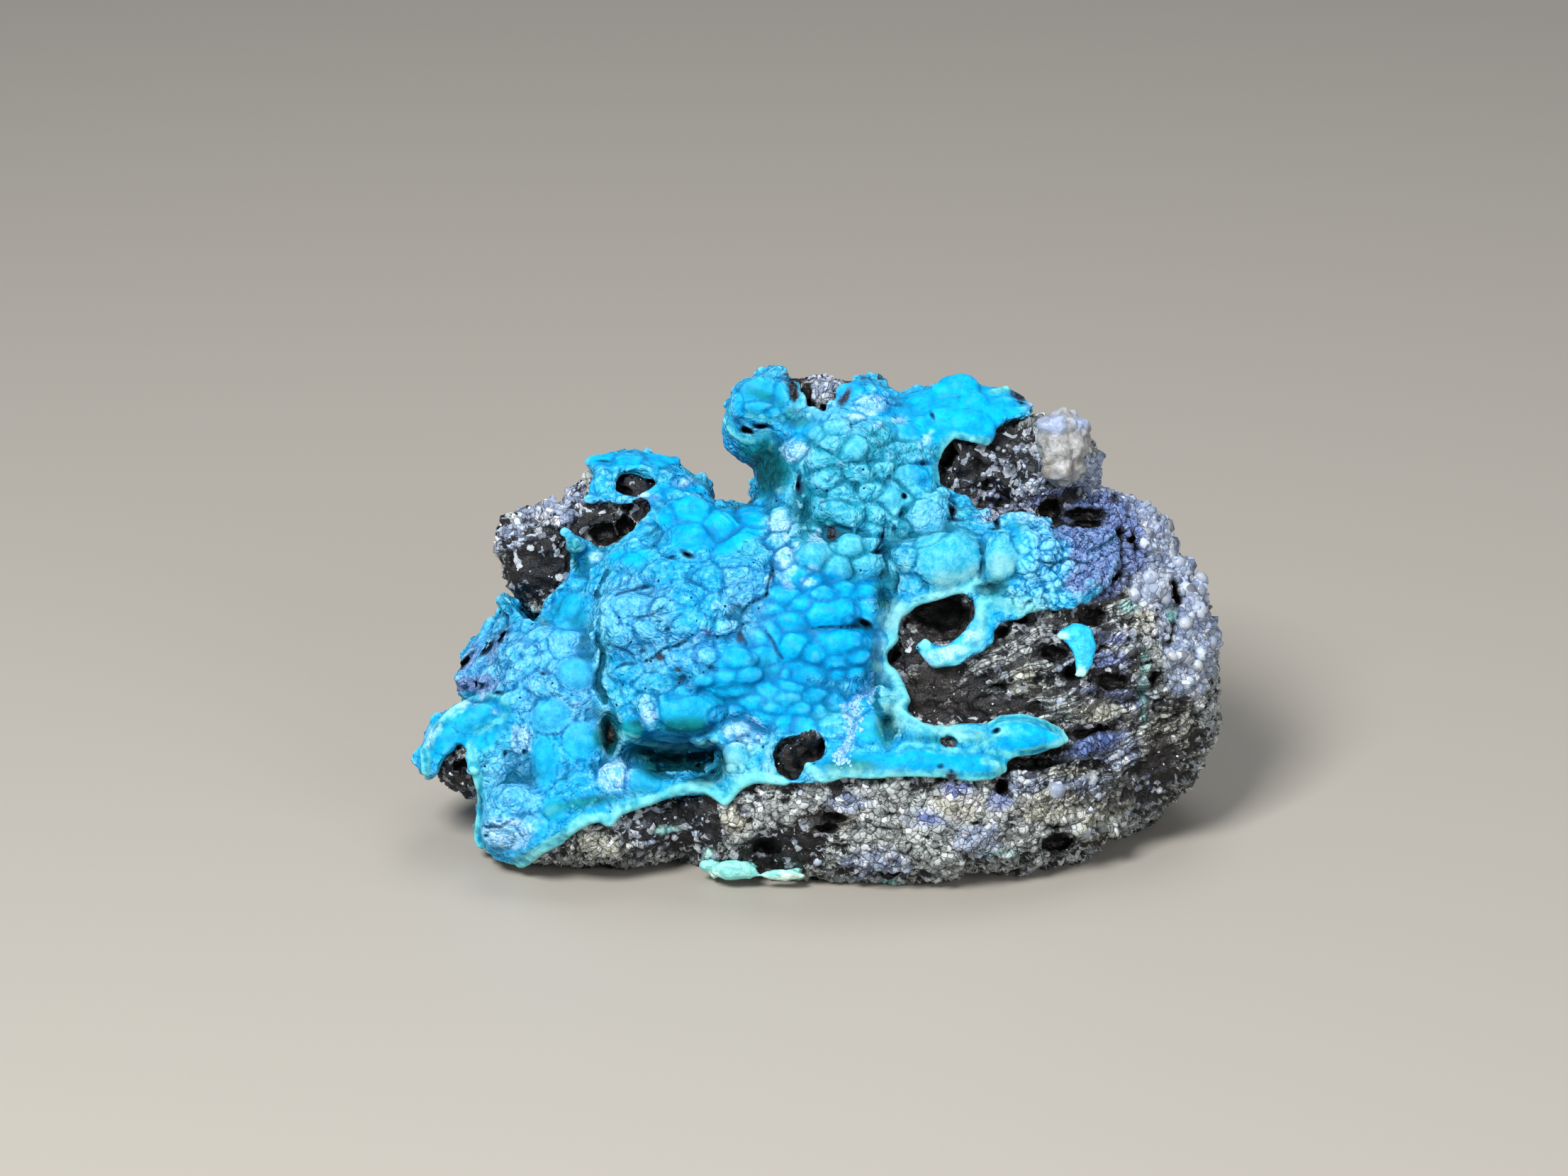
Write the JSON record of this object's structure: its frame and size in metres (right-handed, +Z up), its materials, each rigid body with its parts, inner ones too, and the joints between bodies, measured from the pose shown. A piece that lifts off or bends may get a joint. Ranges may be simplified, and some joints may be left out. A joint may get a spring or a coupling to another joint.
{
  "type": "raw blue aragonite specimen",
  "caption": "Small raw mineral specimen: a lumpy azure crust over a dark, grainy matrix stone, with a pale quartz knob at the top.",
  "frame": {"origin": "middle of the bounding box at the resting plane", "axes": "+X along the stone's width, -Y towards the crusted face, +Z up"},
  "size_m": [0.0502, 0.0268, 0.0277],
  "materials": {
    "matrix_rock": "rough, broken and grainy, dark brown to pale grey",
    "blue_mineral": "waxy to powdery azure crust, smooth lumps and crackled patches",
    "pale_blue_mineral": "chalky pale turquoise",
    "white_quartz": "sugary milky quartz"
  },
  "bodies": {
    "root": {"matrix": "matrix_rock", "blue_crust": "blue_mineral", "blue_patch_right": "blue_mineral", "blue_patch_foot": "pale_blue_mineral", "quartz_knob": "white_quartz"}
  },
  "joints": []
}
